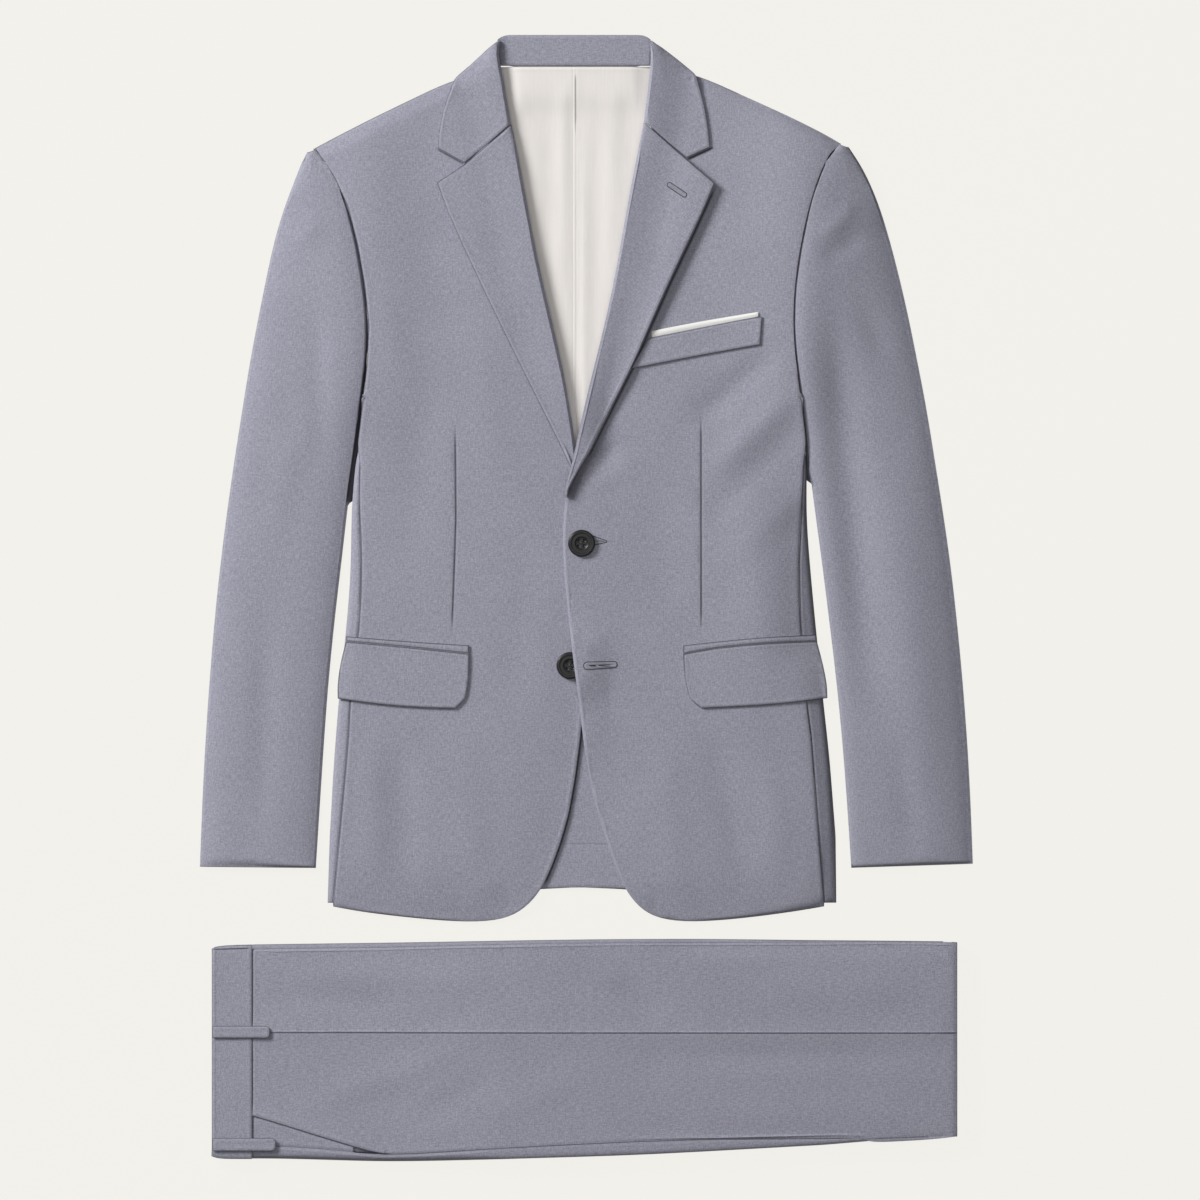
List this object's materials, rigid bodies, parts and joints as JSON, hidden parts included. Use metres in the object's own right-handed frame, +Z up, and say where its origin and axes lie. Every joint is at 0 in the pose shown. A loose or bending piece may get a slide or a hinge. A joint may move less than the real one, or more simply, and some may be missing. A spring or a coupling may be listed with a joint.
{
  "type": "two-piece suit",
  "caption": "Tailored suit laid flat: a notch-lapel jacket with a buttoned front and flap pockets, above folded trousers with a waistband and a slanted pocket.",
  "frame": {"origin": "centre of the suit's bounding box, on the surface it lies on", "axes": "+X to the wearer's left, +Y from the trousers towards the jacket's collar, +Z up from the surface, out of the jacket's front"},
  "size_m": [0.6647, 0.9682, 0.0158],
  "materials": {
    "suit_cloth": "matte blue-grey melange worsted",
    "back_lining_cloth": "cream lining with a soft sheen",
    "chest_trim_cloth": "matte white cotton",
    "dark_horn": "satin, nearly black"
  },
  "bodies": {
    "root": {"back_hem_facing": "suit_cloth", "back_left": "suit_cloth", "back_lining": "back_lining_cloth", "back_right": "suit_cloth", "belt_loop_front": "suit_cloth", "belt_loop_side": "suit_cloth", "button_lower": "dark_horn", "button_top": "dark_horn", "chest_trim": "chest_trim_cloth", "chest_welt": "suit_cloth", "collar_back": "suit_cloth", "collar_left": "suit_cloth", "collar_right": "suit_cloth", "collar_stand": "suit_cloth", "folded_layers": "suit_cloth", "front_left": "suit_cloth", "front_right": "suit_cloth", "lapel_left": "suit_cloth", "lapel_right": "suit_cloth", "leg_back": "suit_cloth", "leg_front": "suit_cloth", "pocket_facing": "suit_cloth", "pocket_flap_left": "suit_cloth", "pocket_flap_right": "suit_cloth", "pocket_jet_left": "suit_cloth", "pocket_jet_right": "suit_cloth", "side_panel_left": "suit_cloth", "side_panel_right": "suit_cloth", "top_sleeve_left": "suit_cloth", "top_sleeve_right": "suit_cloth", "under_sleeve_left": "suit_cloth", "under_sleeve_right": "suit_cloth", "waistband": "suit_cloth"}
  },
  "joints": []
}
